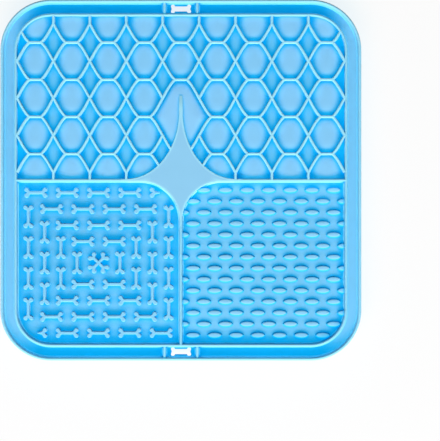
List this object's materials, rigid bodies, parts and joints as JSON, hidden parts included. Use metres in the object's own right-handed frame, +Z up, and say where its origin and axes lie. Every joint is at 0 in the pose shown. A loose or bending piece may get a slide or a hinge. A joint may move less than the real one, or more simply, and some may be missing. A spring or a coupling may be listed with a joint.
{
  "type": "lick mat",
  "caption": "Square blue silicone lick mat with a rim, gutter, domed hexagon, bone and oval fields round a raised star, and suction cups underneath.",
  "frame": {"origin": "centre of the mat in plan, on the surface that the suction cups stand on", "axes": "+Z up out of the textured face, +Y towards the edge behind the hexagon field, +X to the right when the hexagon field is at the top"},
  "size_m": [0.2, 0.2, 0.012],
  "materials": {
    "deep_silicone": "matt translucent silicone, thin over the sheet",
    "wall_silicone": "matt translucent silicone, light at the rib tops",
    "relief_silicone": "matt translucent silicone",
    "dome_silicone": "matt translucent silicone, smooth domes"
  },
  "bodies": {
    "root": {"base_sheet": "deep_silicone", "outer_rim": "wall_silicone", "inner_wall": "wall_silicone", "top_hanger_ribs": "wall_silicone", "bottom_hanger_ribs": "wall_silicone", "left_divider": "wall_silicone", "right_divider": "wall_silicone", "lower_divider": "wall_silicone", "centre_star": "relief_silicone", "level_ribs": "wall_silicone", "rising_ribs": "wall_silicone", "falling_ribs": "wall_silicone", "upright_ribs": "wall_silicone", "hexagon_pillows_1": "dome_silicone", "hexagon_pillows_2": "dome_silicone", "hexagon_pillows_3": "dome_silicone", "hexagon_pillows_4": "dome_silicone", "hexagon_pillows_5": "dome_silicone", "diamond_pillows": "dome_silicone", "star_pillow": "dome_silicone", "bone_ring_1": "relief_silicone", "bone_ring_2": "relief_silicone", "bone_ring_3": "relief_silicone", "bone_ring_4": "relief_silicone", "crossed_bones": "relief_silicone", "oval_bumps": "relief_silicone", "cup_stems": "deep_silicone", "cup_skirts": "deep_silicone", "cup_lips": "deep_silicone"}
  },
  "joints": []
}
